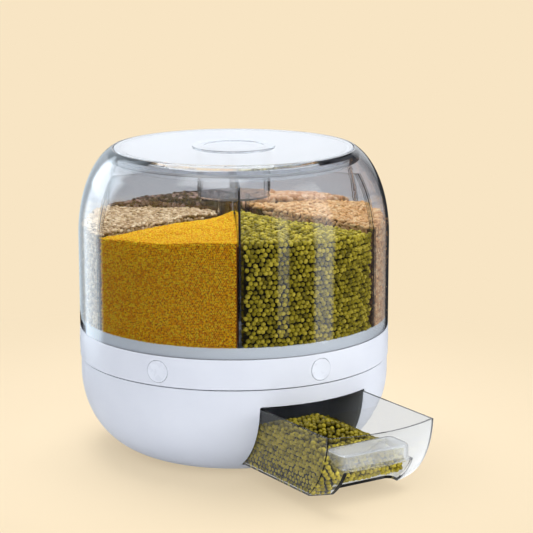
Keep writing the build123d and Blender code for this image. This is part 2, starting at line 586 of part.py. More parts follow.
def desiccant_cap():
    cap_r = CUP_R + CUP_FLANGE_W
    plug_r = CUP_R - CUP_WALL - SEAT_GAP
    section = rect(0, cap_r, CAP_Z0, CAP_Z0 + CAP_T)
    section -= rect(0, CAP_RING_R, CAP_Z0 + CAP_T - CAP_SUNK, CAP_Z0 + 2 * CAP_T)
    section += rect(plug_r - CAP_PLUG_WALL, plug_r, CAP_Z0 - CAP_PLUG_H, CAP_Z0)
    return spin(section)


def drawer_block(inset):
    """Outside of the closed drawer, or with an inset the room inside it, open at the front and at the top."""
    half = DRAWER_HALF_W - inset
    block = slab(-half, half, -FAR, DRAWER_BACK - inset, DRAWER_Z0 + inset, DRAWER_TOP + inset)
    block = fillet(block.edges().filter_by(Axis.Z).group_by(Axis.Y)[-1], DRAWER_CORNER_R - inset)
    long_edges = block.edges().filter_by(Axis.Y).group_by(Axis.Z)[0]
    block = fillet(long_edges, DRAWER_EDGE_R - inset)
    return block & spin(bowl_section(inset, BASE_TOP))


def pocket_block(grow):
    """Finger space of the pocket or, grown by a wall, the block that it is moulded in."""
    half = POCKET_HALF_W + grow
    back = grow - POCKET_BACK
    steps = []
    for front, top in ((-FAR, POCKET_MOUTH_H), (-POCKET_LIP_BACK - grow, POCKET_ROOF_H)):
        step = slab(-half, half, front, back, 0, DRAWER_Z0 + top + grow)
        step = fillet(step.edges().filter_by(Axis.Z), POCKET_CORNER_R + grow)
        steps += [fillet(step.edges().group_by(Axis.Z)[-1], POCKET_EDGE_R + grow)]
    return steps[0] + steps[1]


def drawer_tub():
    outside = drawer_block(0)
    tub = outside - drawer_block(DRAWER_WALL) + (pocket_block(DRAWER_WALL) & outside) - pocket_block(0)
    return Pos(0, -DRAWER_PULL, 0) * tub


os.makedirs("parts", exist_ok=True)
PIECES = {f.__name__: f() for f in (
    base_shell, base_deck, drawer_guide, spindle, retaining_washer, retaining_screw, glide_pads, foot_ring,
    deck_screws, guide_screws, turntable_ring, tray_floor, hub_bush, hopper_floor, hopper_collar, tray_screws,
    divider_insert, barrel, lid_panel, lid_seal, desiccant_cup, desiccant_cap, drawer_tub)}
for make in (outlet_spout, return_spring, button, gate):
    drawn = make()
    for i in range(COMPARTMENTS):
        PIECES[f"{make.__name__}_{i + 1}"] = valve_turn(i) * drawn
for name, piece in PIECES.items():
    export_step(piece, f"parts/{name}.step")
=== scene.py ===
# %% [markdown]
# # A rotating grain dispenser
# The object is a clear, domed barrel of six compartments that turns on a white bowl, with a clear drawer
# below. The imported CAD model is the fixed frame: its pieces already have the right shape and place, in
# metres. This lesson dresses it. It gives every moulded piece a finish, fills the compartments and the
# drawer with grain, puts copies in place of the springs, and sets up the light and the camera.

# %% Load the imported model
import json
import math
import random

import bmesh
import bpy
from mathutils import Matrix, Vector, noise


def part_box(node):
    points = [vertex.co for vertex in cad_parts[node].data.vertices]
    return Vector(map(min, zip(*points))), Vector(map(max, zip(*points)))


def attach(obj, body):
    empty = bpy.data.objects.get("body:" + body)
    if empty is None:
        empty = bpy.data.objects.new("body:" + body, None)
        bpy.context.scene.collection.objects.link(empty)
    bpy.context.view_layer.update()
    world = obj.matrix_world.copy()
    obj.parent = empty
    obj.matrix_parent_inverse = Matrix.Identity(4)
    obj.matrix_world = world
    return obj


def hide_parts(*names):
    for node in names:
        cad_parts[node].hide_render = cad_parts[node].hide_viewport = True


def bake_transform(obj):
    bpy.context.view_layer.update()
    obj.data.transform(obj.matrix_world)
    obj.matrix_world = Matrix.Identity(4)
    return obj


# Light crosses many clear walls before it reaches the grain.
CLEAR_BOUNCES = 20
SHADOW_PASSES = 32

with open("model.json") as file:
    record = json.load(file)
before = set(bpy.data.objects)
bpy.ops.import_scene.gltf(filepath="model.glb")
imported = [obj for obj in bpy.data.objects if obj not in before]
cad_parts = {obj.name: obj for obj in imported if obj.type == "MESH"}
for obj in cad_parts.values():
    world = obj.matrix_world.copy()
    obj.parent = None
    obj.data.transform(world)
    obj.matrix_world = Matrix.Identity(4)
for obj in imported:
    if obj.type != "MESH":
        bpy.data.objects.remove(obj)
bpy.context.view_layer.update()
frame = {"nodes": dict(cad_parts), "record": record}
parts = frame["nodes"]
scene = bpy.context.scene
scene.view_settings.view_transform = "Standard"
scene.cycles.max_bounces = CLEAR_BOUNCES
scene.cycles.transmission_bounces = CLEAR_BOUNCES
scene.cycles.transparent_max_bounces = SHADOW_PASSES

# %% [markdown]
# ## Finishes
# Every finish is a node tree on the Principled shader. A moulded plastic is never one flat number: its
# gloss drifts a little over the surface and it has a fine grain from the mould. The helpers below add
# those two things. Object coordinates are in metres here, so a noise scale of 100 gives marks about 10 mm
# across.

# %% Node helpers
NOISE_LOW, NOISE_HIGH = 0.3, 0.7
WHOLE_RANGE = (0.0, 1.0)
NOISE_DETAIL, GRAIN_DETAIL = 3.0, 2.0


def new_finish(name):
    """A material with its node tree and its Principled shader."""
    finish = bpy.data.materials.new(name)
    finish.use_nodes = True
    tree = finish.node_tree
    return finish, tree, tree.nodes["Principled BSDF"]


def object_noise(tree, scale, detail=NOISE_DETAIL):
    """Noise over the piece's own coordinates."""
    place = tree.nodes.new("ShaderNodeTexCoord")
    marks = tree.nodes.new("ShaderNodeTexNoise")
    marks.inputs["Scale"].default_value = scale
    marks.inputs["Detail"].default_value = detail
    tree.links.new(place.outputs["Object"], marks.inputs["Vector"])
    return marks.outputs["Fac"]


def drift(tree, socket, marks, low, high):
    """Lets a number wander between two values with the noise."""
    spread = tree.nodes.new("ShaderNodeMapRange")
    spread.inputs["From Min"].default_value = NOISE_LOW
    spread.inputs["From Max"].default_value = NOISE_HIGH
    spread.inputs["To Min"].default_value = low
    spread.inputs["To Max"].default_value = high
    tree.links.new(marks, spread.inputs["Value"])
    tree.links.new(spread.outputs["Result"], socket)


def blend_colours(tree, socket, factor, dark, light, ends=(NOISE_LOW, NOISE_HIGH)):
    """Colour ramp from a dark to a light shade."""
    ramp = tree.nodes.new("ShaderNodeValToRGB")
    first, last = ramp.color_ramp.elements
    first.position, last.position = ends
    first.color = (*dark, 1)
    last.color = (*light, 1)
    tree.links.new(factor, ramp.inputs["Fac"])
    tree.links.new(ramp.outputs["Color"], socket)
    return ramp


def mould_grain(tree, shader, scale, strength, depth):
    """Fine bump, as a spark-eroded mould leaves it."""
    bump = tree.nodes.new("ShaderNodeBump")
    bump.inputs["Strength"].default_value = strength
    bump.inputs["Distance"].default_value = depth
    tree.links.new(object_noise(tree, scale, GRAIN_DETAIL), bump.inputs["Height"])
    tree.links.new(bump.outputs["Normal"], shader.inputs["Normal"])


print("noise is taken to run from", NOISE_LOW, "to", NOISE_HIGH)

# %% [markdown]
# ### White plastic
# The bowl, the ring and the buttons are a cool white, satin moulding. A slow drift in colour and gloss and a
# very fine grain keep it from looking flat. The collar under the grain is the same plastic, but it is given
# a purer, bluer white as painted light, to make up for being seen through the foot of the barrel and lit
# through it.

# %% White plastic
PLASTIC_IOR = 1.5
WHITE_CLOUD, WHITE_GLOSS = 25.0, 160.0
WHITE_SMOOTHER, WHITE_ROUGHER = 0.04, 0.05
WHITE_GRAIN = (2600.0, 0.05, 0.0003)


def white_plastic(name, dark, light, rough):
    """Satin white that drifts between two shades."""
    finish, tree, shader = new_finish(name)
    blend_colours(tree, shader.inputs["Base Color"], object_noise(tree, WHITE_CLOUD), dark, light)
    gloss = object_noise(tree, WHITE_GLOSS)
    drift(tree, shader.inputs["Roughness"], gloss, rough - WHITE_SMOOTHER, rough + WHITE_ROUGHER)
    shader.inputs["IOR"].default_value = PLASTIC_IOR
    mould_grain(tree, shader, *WHITE_GRAIN)
    return finish


white_body = white_plastic("white_satin_plastic", (0.765, 0.79, 0.85), (0.80, 0.825, 0.88), 0.34)
white_button = white_plastic("white_button_plastic", (0.80, 0.83, 0.89), (0.83, 0.86, 0.92), 0.28)
# The collar's purer white is painted light, for the light it loses through the barrel.
collar_painted_paler = white_plastic("white_collar_plastic", (0.86, 0.92, 0.99), (0.88, 0.94, 1.0), 0.34)
print("white finishes:", white_body.name, white_button.name, collar_painted_paler.name)

# %% [markdown]
# ### Clear plastic
# The barrel, its dividers, the lid and the drawer are clear styrene. Real refraction in closed walls
# gives the dark and bright lines along every edge, so the shader is nearly all transmission; the lid is
# milky and has less of it. Lamps have to reach the grain inside, and refraction would turn their light
# into noise, so shadow rays pass straight through a Transparent shader instead.

# %% Clear plastic
STYRENE_IOR = 1.49
CLEAR_GLOSS, CLEAR_GLOSS_RISE = 45.0, 0.025
CLEAR_GRAIN = (90.0, 0.04, 0.0008)
CLEAR_SHADOW = (0.97, 0.975, 0.98)
MILKY_SHADOW = (0.93, 0.94, 0.95)


def choose_by_ray(tree, kind, otherwise, when):
    """One shader for a kind of ray, another for the rest."""
    path = tree.nodes.new("ShaderNodeLightPath")
    mix = tree.nodes.new("ShaderNodeMixShader")
    tree.links.new(path.outputs[kind], mix.inputs["Fac"])
    tree.links.new(otherwise, mix.inputs[1])
    tree.links.new(when, mix.inputs[2])
    return mix.outputs["Shader"]


def clear_plastic(name, tint, rough, clearness, shadow_colour=CLEAR_SHADOW):
    """Clear moulding that light goes straight through on its way from a lamp."""
    finish, tree, shader = new_finish(name)
    shader.inputs["Base Color"].default_value = (*tint, 1)
    shader.inputs["IOR"].default_value = STYRENE_IOR
    shader.inputs["Transmission Weight"].default_value = clearness
    drift(tree, shader.inputs["Roughness"], object_noise(tree, CLEAR_GLOSS), rough, rough + CLEAR_GLOSS_RISE)
    mould_grain(tree, shader, *CLEAR_GRAIN)
    through = tree.nodes.new("ShaderNodeBsdfTransparent")
    through.inputs["Color"].default_value = (*shadow_colour, 1)
    surface = choose_by_ray(tree, "Is Shadow Ray", shader.outputs["BSDF"], through.outputs["BSDF"])
    tree.links.new(surface, tree.nodes["Material Output"].inputs["Surface"])
    return finish


clear_body = clear_plastic("clear_styrene", (0.92, 0.93, 0.945), 0.0, 1.0)
clear_lid = clear_plastic("milky_clear_lid", (0.92, 0.95, 0.99), 0.03, 0.80, MILKY_SHADOW)
clear_drawer = clear_plastic("clear_drawer_styrene", (0.94, 0.95, 0.955), 0.0, 1.0)
clear_vanes = clear_plastic("clear_vane_styrene", (0.94, 0.945, 0.95), 0.0, 0.995)
clear_cup = clear_plastic("clear_cup_styrene", (0.92, 0.93, 0.945), 0.0, 0.95)
clear_ones = (clear_body, clear_lid, clear_drawer, clear_vanes, clear_cup)
print("clear finishes:", [finish.name for finish in clear_ones])

# %% [markdown]
# ### The frosted bar
# The bar over the drawer's finger pocket is milky where the rest of the drawer is clear, because its face
# is mat. It is part of the same moulding, so a box mask in the drawer's own coordinates lowers the
# transmission there. The mask has a soft edge of less than a millimetre each way.

# %% Frosted bar
POCKET_BAR = ((-0.0364, 0.0364), (-0.2316, -0.2045), (0.0395, 0.0545))
BAR_EDGE = 0.0008
BAR_CLEARNESS = 0.75


def inside_bar(tree):
    """1 on the bar, 0 elsewhere."""
    place = tree.nodes.new("ShaderNodeTexCoord")
    split = tree.nodes.new("ShaderNodeSeparateXYZ")
    tree.links.new(place.outputs["Object"], split.inputs["Vector"])
    inside = None
    for axis, (low, high) in zip("XYZ", POCKET_BAR):
        for limit, way in ((low, 1), (high, -1)):
            step = tree.nodes.new("ShaderNodeMapRange")
            step.inputs["From Min"].default_value = limit - way * BAR_EDGE
            step.inputs["From Max"].default_value = limit + way * BAR_EDGE
            tree.links.new(split.outputs[axis], step.inputs["Value"])
            if inside is None:
                inside = step.outputs["Result"]
                continue
            both = tree.nodes.new("ShaderNodeMath")
            both.operation = "MULTIPLY"
            tree.links.new(inside, both.inputs[0])
            tree.links.new(step.outputs["Result"], both.inputs[1])
            inside = both.outputs["Value"]
    return inside


bar_tree = clear_drawer.node_tree
bar_weight = bar_tree.nodes.new("ShaderNodeMapRange")
bar_weight.inputs["To Min"].default_value = 1.0
bar_weight.inputs["To Max"].default_value = BAR_CLEARNESS
bar_tree.links.new(inside_bar(bar_tree), bar_weight.inputs["Value"])
bar_shader = bar_tree.nodes["Principled BSDF"]
bar_tree.links.new(bar_weight.outputs["Result"], bar_shader.inputs["Transmission Weight"])
print("bar frosted to a clearness of", BAR_CLEARNESS)

# %% [markdown]
# ### Small fittings
# Springs, screws and the spindle are plain steel, the foot and the lid's seal are grey silicone, and the
# bearing pieces are undyed nylon. They show only when something is lifted or pressed, but they are
# finished all the same.

# %% Steel, silicone and nylon
FITTING_CLOUD, FITTING_GLOSS = 220.0, 600.0
FITTING_GRAIN = (1800.0, 0.08, 0.0002)


def fitting_finish(name, dark, light, smooth, rough, metal):
    """Finish of a small fitting, with a gloss that drifts between smooth and rough."""
    finish, tree, shader = new_finish(name)
    blend_colours(tree, shader.inputs["Base Color"], object_noise(tree, FITTING_CLOUD), dark, light)
    drift(tree, shader.inputs["Roughness"], object_noise(tree, FITTING_GLOSS), smooth, rough)
    shader.inputs["Metallic"].default_value = metal
    mould_grain(tree, shader, *FITTING_GRAIN)
    return finish


steel = fitting_finish("drawn_steel", (0.52, 0.53, 0.55), (0.66, 0.67, 0.69), 0.25, 0.4, 1.0)
silicone = fitting_finish("grey_silicone", (0.60, 0.61, 0.63), (0.68, 0.69, 0.71), 0.55, 0.75, 0.0)
nylon = fitting_finish("undyed_nylon", (0.70, 0.69, 0.65), (0.78, 0.77, 0.73), 0.4, 0.55, 0.0)
print("fitting finishes:", steel.name, silicone.name, nylon.name)

# %% [markdown]
# ### Which piece wears what
# The CAD record names a material slot for each piece, so one table from slot to finish dresses them all.
# Four pieces are exceptions: the drawer has the frosted bar, the desiccant cup and the dividers are almost
# as clear as the barrel but not quite, and the collar has the purer white of painted light.

# %% Dress the CAD pieces
FINISH_OF_SLOT = {
    "white_body": white_body,
    "white_button": white_button,
    "clear_plastic": clear_body,
    "clear_lid": clear_lid,
    "steel": steel,
    "soft_rubber": silicone,
    "bearing_plastic": nylon,
}
FINISH_OF_NODE = {
    "drawer_tub": clear_drawer,
    "desiccant_cup": clear_cup,
    "divider_insert": clear_vanes,
    "hopper_collar": collar_painted_paler,
}
for row in frame["record"]["subparts"]:
    dressed = parts[row["node"]].data.materials
    dressed.clear()
    dressed.append(FINISH_OF_NODE.get(row["node"], FINISH_OF_SLOT[row["material_slot"]]))

# %% [markdown]
# ## Grain
# Each compartment holds another grain. A heap is one mesh: a core, coloured dark as painted shade of the
# grain deeper in, with a layer of single grains where they can be seen, against the barrel's wall, over the
# top and along the dividers. The grains sit on a jittered honeycomb, because grain that has settled against
# a wall packs nearly that way.

# %% Sizes of the barrel's room
MM = 0.001
COMPARTMENTS = 6
SECTOR = math.tau / COMPARTMENTS
BARREL_IN_R = 142.6 * MM
SHOULDER_Z = 203.7 * MM
CROWN_R = 99.7 * MM
SHOULDER_IN_W = BARREL_IN_R - CROWN_R
SHOULDER_IN_H = 82.5 * MM
COLLAR_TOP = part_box("hopper_collar")[1].z
COLLAR_IN_R = 139.7 * MM
FLOOR_TOP = 120.2 * MM
POST_R = 16.0 * MM
VANE_HALF = 1.0 * MM
RIB_HALF = 2.6 * MM


def wall_radius(z):
    """Inner radius of the barrel at a height."""
    if z <= SHOULDER_Z:
        return BARREL_IN_R
    rise = (z - SHOULDER_Z) / SHOULDER_IN_H
    return CROWN_R + SHOULDER_IN_W * math.sqrt(1 - rise * rise)


print("room of the barrel at the collar:", round(wall_radius(COLLAR_TOP), 4))

# %% [markdown]
# ### Single grains
# Each grain is an ico sphere, squashed to the seed's own proportions and laid flat against its wall with a
# little tilt. It carries a random tone of its own in an attribute that the finish reads. Painted shade
# lowers that value round the seed's rim, where its neighbours would take the light, so that the grains stand
# apart.

# %% One grain
# Painted shade: a grain's value falls to this share round its rim.
RIM_SHADE, RIM_START, RIM_WIDTH = 0.6, -0.1, 0.7


def seed_matrix(dice, spot, normal, seed):
    """Places a seed flat against a surface, turned at random, with a little tilt."""
    along = normal.orthogonal().normalized()
    across = normal.cross(along)
    turn = dice.uniform(0, math.tau)
    lean = dice.uniform(-seed["tilt"], seed["tilt"])
    length = (along * math.cos(turn) + across * math.sin(turn) + normal * lean).normalized()
    depth = (normal - length * normal.dot(length)).normalized()
    grow = 1 + dice.uniform(-seed["vary"], seed["vary"])
    axes = Matrix((length, depth.cross(length), depth)).transposed()
    size = Matrix.Diagonal([half * grow * MM for half in seed["half"]])
    return Matrix.Translation(spot) @ (axes @ size).to_4x4()


def painted_rim_shade(rise):
    """Painted shade over one seed: full on its face, dim round its rim."""
    return RIM_SHADE + (1 - RIM_SHADE) * min(1.0, max(0.0, (rise - RIM_START) / RIM_WIDTH))


print("shade at a grain's rim:", RIM_SHADE)

# %% [markdown]
# Grains are made in small handfuls and then poured into the heap. A mesh operator slows down as the mesh
# that it works on grows, so this is much faster than adding each grain to the whole heap.

# %% A handful of grains
# The attribute holds each grain's random tone with painted shade round its rim.
SHADE = "shade"
HANDFUL = 160
DARKEST_TONE = 0.35


def pour(heap, dice, spots, seed, palest=1.0):
    """Adds one seed at each spot."""
    for start in range(0, len(spots), HANDFUL):
        hand = bmesh.new()
        shade = hand.verts.layers.float.new(SHADE)
        for spot, normal in spots[start:start + HANDFUL]:
            matrix = seed_matrix(dice, spot, normal, seed)
            grown = bmesh.ops.create_icosphere(hand, subdivisions=seed["round"], radius=1, matrix=matrix)
            # A palest below 1 paints shade over the random tone, and one above 1 paints light.
            tone = dice.uniform(DARKEST_TONE, 1.0) * palest
            to_seed = matrix.inverted()
            for vert in grown["verts"]:
                # Each point's value is the seed's tone times the painted shade round its rim.
                vert[shade] = tone * painted_rim_shade((to_seed @ vert.co).z)
        carrier = bpy.data.meshes.new("handful")
        hand.to_mesh(carrier)
        hand.free()
        heap.from_mesh(carrier)
        bpy.data.meshes.remove(carrier)


print("a handful is", HANDFUL, "grains")

# %% [markdown]
# The honeycomb gives the spots for the grains. Each point is shifted a little at random, so that the rows
# do not show.

# %% Honeycomb
JITTER = 0.17
ROW_STEP = 0.866


def honeycomb(dice, u_low, u_high, v_low, v_high, pitch):
    """Jittered honeycomb of points in a rectangle."""
    points = []
    row = 0
    v = v_low
    while v <= v_high:
        u = u_low + (pitch / 2 if row % 2 else 0)
        while u <= u_high:
            u_shift = dice.uniform(-JITTER, JITTER) * pitch
            v_shift = dice.uniform(-JITTER, JITTER) * pitch
            points.append((u + u_shift, v + v_shift))
            u += pitch
        v += pitch * ROW_STEP
        row += 1
    return points


print("a point shifts by up to", JITTER, "of the pitch")

# %% [markdown]
# ### The core and the finished heap
# A core starts as a grid that is set to the heap's height, and extruding it downwards closes it. A
# finished heap becomes one object that rides on the body that carries the grain.

# %% Heap helpers
CORE_DEPTH = 1.5


def new_heap():
    """Empty heap whose points carry a shade."""
    heap = bmesh.new()
    heap.verts.layers.float.new(SHADE)
    return heap


def core_skin(seed):
    """How far the core stays below the grains' outer faces."""
    return seed["half"][2] * CORE_DEPTH * MM


def grid_faces(grid):
    """Faces of a new grid, in the order of its points."""
    return list(dict.fromkeys(face for vert in grid["verts"] for face in vert.link_faces))


def extrude(heap, faces, keep):
    """Extrudes faces, and gives the new faces and points."""
    made = bmesh.ops.extrude_face_region(heap, geom=faces, use_keep_orig=keep)["geom"]
    new_faces = [item for item in made if isinstance(item, bmesh.types.BMFace)]
    new_verts = [item for item in made if isinstance(item, bmesh.types.BMVert)]
    return new_faces, new_verts


def heap_piece(name, heap, finish, body):
    """Turns a finished heap into an object that rides on a body."""
    mesh = bpy.data.meshes.new(name)
    heap.to_mesh(mesh)
    heap.free()
    mesh.shade_smooth()
    piece = bpy.data.objects.new(name, mesh)
    scene.collection.objects.link(piece)
    mesh.materials.append(finish)
    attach(piece, body)
    print(name, "faces:", len(mesh.polygons))


print("a core lies", CORE_DEPTH, "half thicknesses of a grain below the surface")

# %% [markdown]
# ### The finish of a seed
# The ramp runs from the painted shade of the gaps between the seeds, where the core has no shade value, to
# the palest seed at full shade. Mottled noise breaks up each seed, and a soft gloss gives each one its own
# small highlight.

# %% Seed finish
DARK_AT, MIDDLE_AT = 0.3, 0.62
MOTTLE_DETAIL, MOTTLE_SHARE = 4.0, 0.5
MOTTLE_DARK, MOTTLE_LIGHT = (0.55, 0.52, 0.48), (1.0, 1.0, 1.0)
SEED_SMOOTHER, SEED_ROUGHER = 0.06, 0.1
GLOSS_SHARE, BUMP_SHARE = 0.6, 2
SEED_BUMP, SEED_BUMP_DEPTH = 0.25, 0.0004


def seed_finish(name, gap, dark, middle, light, mottle, rough, gloss):
    """Skin of one kind of seed."""
    finish, tree, shader = new_finish(name)
    shader.inputs["Specular IOR Level"].default_value = gloss
    own = tree.nodes.new("ShaderNodeAttribute")
    own.attribute_name = SHADE
    tint = tree.nodes.new("ShaderNodeMix")
    tint.data_type = "RGBA"
    tint.blend_type = "MULTIPLY"
    tint.inputs["Factor"].default_value = MOTTLE_SHARE
    # The ramp's first colour, the gap, is painted shade; the core takes it.
    ramp = blend_colours(tree, tint.inputs["A"], own.outputs["Fac"], gap, light, WHOLE_RANGE)
    for position, colour in ((DARK_AT, dark), (MIDDLE_AT, middle)):
        ramp.color_ramp.elements.new(position).color = (*colour, 1)
    marks = object_noise(tree, mottle, MOTTLE_DETAIL)
    blend_colours(tree, tint.inputs["B"], marks, MOTTLE_DARK, MOTTLE_LIGHT)
    tree.links.new(tint.outputs["Result"], shader.inputs["Base Color"])
    polish = object_noise(tree, mottle * GLOSS_SHARE)
    drift(tree, shader.inputs["Roughness"], polish, rough - SEED_SMOOTHER, rough + SEED_ROUGHER)
    mould_grain(tree, shader, mottle * BUMP_SHARE, SEED_BUMP, SEED_BUMP_DEPTH)
    return finish


print("a seed's skin turns dark and middling at", DARK_AT, "and", MIDDLE_AT)

# %% [markdown]
# Each skin has four colours: the gap, which is painted shade, a dark seed, a middling one and the palest.
# The numbers after them are the scale of the mottling, the roughness and the strength of the gloss.

# %% Skins of the six grains
mung_skin = seed_finish("mung_skin", (0.010, 0.008, 0.001), (0.17, 0.135, 0.005), (0.43, 0.345, 0.012),
                        (0.77, 0.62, 0.06), 300.0, 0.3, 0.3)
rice_skin = seed_finish("rice_skin", (0.10, 0.04, 0.012), (0.56, 0.28, 0.10), (0.88, 0.50, 0.21),
                        (0.97, 0.70, 0.40), 260.0, 0.45, 0.2)
peanut_skin = seed_finish("peanut_skin", (0.10, 0.04, 0.018), (0.58, 0.29, 0.15), (0.80, 0.47, 0.28),
                          (0.96, 0.70, 0.49), 180.0, 0.38, 0.25)
# The kidney beans' palest colour is a painted glint: the palest beans' faces stand for highlights.
kidney_skin = seed_finish("kidney_skin", (0.003, 0.0015, 0.0015), (0.020, 0.007, 0.006),
                          (0.05, 0.018, 0.015), (0.50, 0.33, 0.29), 200.0, 0.14, 0.4)
barley_skin = seed_finish("barley_skin", (0.05, 0.028, 0.012), (0.32, 0.20, 0.095), (0.64, 0.455, 0.26),
                          (1.0, 0.83, 0.57), 320.0, 0.45, 0.2)
millet_skin = seed_finish("millet_skin", (0.30, 0.09, 0.0005), (0.84, 0.31, 0.001), (1.0, 0.54, 0.002),
                          (1.0, 0.80, 0.03), 500.0, 0.42, 0.08)
skins = (mung_skin, rice_skin, peanut_skin, kidney_skin, barley_skin, millet_skin)
print("skins:", [skin.name for skin in skins])

# %% [markdown]
# ### Filling a compartment
# A compartment is a wedge between two dividers. Its core is a grid, bent into the wedge, set to the
# heap's height and extruded down to the floor in steps, because the collar at the bottom leaves less room
# than the barrel.

# %% Core of a compartment
CORE_RINGS, CORE_RAYS = 22, 18
POST_CLEAR = 1.2 * MM
COLLAR_CLEAR = 0.5 * MM
COLLAR_STEP = 0.4 * MM
CORE_LEVELS = (COLLAR_TOP + COLLAR_STEP, COLLAR_TOP - COLLAR_STEP, FLOOR_TOP)
WAVE_SCALE = 28.0


def wedge_point(reach, side, middle, clear):
    """Point of a wedge at a radius, side from -1 to 1, kept clear of both dividers."""
    angle = middle + side * (SECTOR / 2 - math.asin(clear / reach))
    return reach * math.cos(angle), reach * math.sin(angle)


def heap_height(x, y, middle, fill):
    """Height of the grain over a point of the wedge."""
    reach = math.hypot(x, y) / BARREL_IN_R
    angle = math.remainder(math.atan2(y, x) - middle, math.tau) / (SECTOR / 2)
    wave = noise.noise(Vector((x, y, middle)) * WAVE_SCALE) * fill["wave"]
    crown = fill["crown"] * (1 - reach * reach)
    return (fill["level"] + fill["lean"] * angle + crown + wave) * MM


def wedge_core(heap, middle, fill, skin):
    """Core of a heap, coloured with the gaps' painted shade, one skin inside everything that holds the
    grain.
    """
    near = POST_R + POST_CLEAR + skin
    far = BARREL_IN_R - skin
    grid = bmesh.ops.create_grid(heap, x_segments=CORE_RINGS, y_segments=CORE_RAYS, size=0.5)
    for vert in grid["verts"]:
        reach = near + (far - near) * (vert.co.x + 0.5)
        x, y = wedge_point(reach, vert.co.y * 2, middle, VANE_HALF + skin)
        z = heap_height(x, y, middle, fill) - skin
        narrow = min(1.0, (wall_radius(z) - skin) / far)
        vert.co = Vector((x * narrow, y * narrow, z))
    bottom_r = COLLAR_IN_R - COLLAR_CLEAR
    faces = grid_faces(grid)
    for level in CORE_LEVELS:
        faces, verts = extrude(heap, faces, level > COLLAR_TOP)
        for vert in verts:
            vert.co.z = level
            reach = math.hypot(vert.co.x, vert.co.y)
            if level < COLLAR_TOP and reach > bottom_r:
                vert.co.x *= bottom_r / reach
                vert.co.y *= bottom_r / reach
    bmesh.ops.recalc_face_normals(heap, faces=heap.faces[:])


print("core levels in mm:", [round(level / MM, 1) for level in CORE_LEVELS])

# %% [markdown]
# ### Where the grains of a compartment lie
# Grains are laid on three kinds of surface: the barrel's wall, the top of the heap, and the two dividers.
# Against the wall they lie in one layer, from the collar up to the top of the heap, and leave room for
# the guide ribs. Snug values are shares of a grain's half thickness.

# %% Grains on the wall
ABOVE_HEAPS = 0.25
WALL_SNUG = (1.0, 1.35)
COLLAR_SNUG = 0.6
WALL_BELOW = 0.4


def wall_spots(dice, middle, fill, seed, thick, rib):
    """Grains against the barrel's wall."""
    spots = []
    half_arc = (SECTOR / 2) * BARREL_IN_R
    low = COLLAR_TOP + thick * COLLAR_SNUG
    for arc, z in honeycomb(dice, -half_arc, half_arc, low, ABOVE_HEAPS, seed["pitch"] * MM):
        reach = wall_radius(z) - thick * dice.uniform(*WALL_SNUG)
        angle = middle + arc / BARREL_IN_R
        edge = reach * math.sin(SECTOR / 2 - abs(arc) / BARREL_IN_R)
        spot = Vector((reach * math.cos(angle), reach * math.sin(angle), z))
        if edge > rib and z < heap_height(spot.x, spot.y, middle, fill) - thick * WALL_BELOW:
            spots.append((spot, Vector((math.cos(angle), math.sin(angle), 0))))
    return spots


print("grains are sought up to", ABOVE_HEAPS, "m")

# %% [markdown]
# On top of the heap each grain is sunk in by a random part of its thickness, so the surface is uneven.

# %% Grains on top
TOP_SUNK = (0.4, 1.1)
UP = Vector((0, 0, 1))


def top_spots(dice, middle, fill, seed, thick, clear):
    """Grains on top of the heap."""
    spots = []
    turn = Matrix.Rotation(middle, 3, "Z")
    half = BARREL_IN_R / 2
    for u, v in honeycomb(dice, POST_R, BARREL_IN_R, -half, half, seed["pitch"] * MM):
        flat = turn @ Vector((u, v, 0))
        reach = flat.length
        top = heap_height(flat.x, flat.y, middle, fill) - thick * dice.uniform(*TOP_SUNK)
        edge = reach * math.sin(max(0.0, SECTOR / 2 - abs(math.atan2(v, u))))
        if POST_R + thick < reach < wall_radius(top) - thick and edge > clear:
            spots.append((Vector((flat.x, flat.y, top)), UP))
    return spots


print("top grains are sunk by", TOP_SUNK, "of their half thickness")

# %% [markdown]
# Only a strip along a divider can be seen, near the wall and near the top, so the rest of it is left to the
# core. The strip stops short of the wall, so that the core's dark colour shows there as painted shade in the
# corner behind the guide rib.

# %% Grains along the dividers
CORNER_FREE = 2.2
# Grains stop this far from the wall, and the dark core left there is painted shade.
CORNER_CLEAR = 6.0 * MM


def vane_spots(dice, middle, fill, seed, thick, rib, clear):
    """Grains along both dividers, where they can be seen."""
    spots = []
    low = COLLAR_TOP + thick * COLLAR_SNUG
    strip = fill["strip"] * MM
    for side in (-1, 1):
        angle = middle + side * SECTOR / 2
        out = Vector((math.cos(angle), math.sin(angle), 0))
        away = Vector((-out.y, out.x, 0)) * side
        for reach, z in honeycomb(dice, POST_R * 2, BARREL_IN_R - rib, low, ABOVE_HEAPS, seed["pitch"] * MM):
            spot = out * reach - away * clear + UP * z
            below = heap_height(spot.x, spot.y, middle, fill) - z
            gap = wall_radius(z) - spot.xy.length
            seen = gap < strip or below < strip
            if seen and below > thick and gap > CORNER_CLEAR + thick * CORNER_FREE:
                spots.append((spot, away))
    return spots


print("corner left in shade, in mm:", CORNER_CLEAR / MM)

# %% [markdown]
# ### One whole compartment
# The core, the spots and the grains come together here. Each compartment has dice of its own, so that a
# change to one leaves the others as they are.

# %% Fill one compartment
VANE_SNUG = 1.1
FIRST_DICE = 100


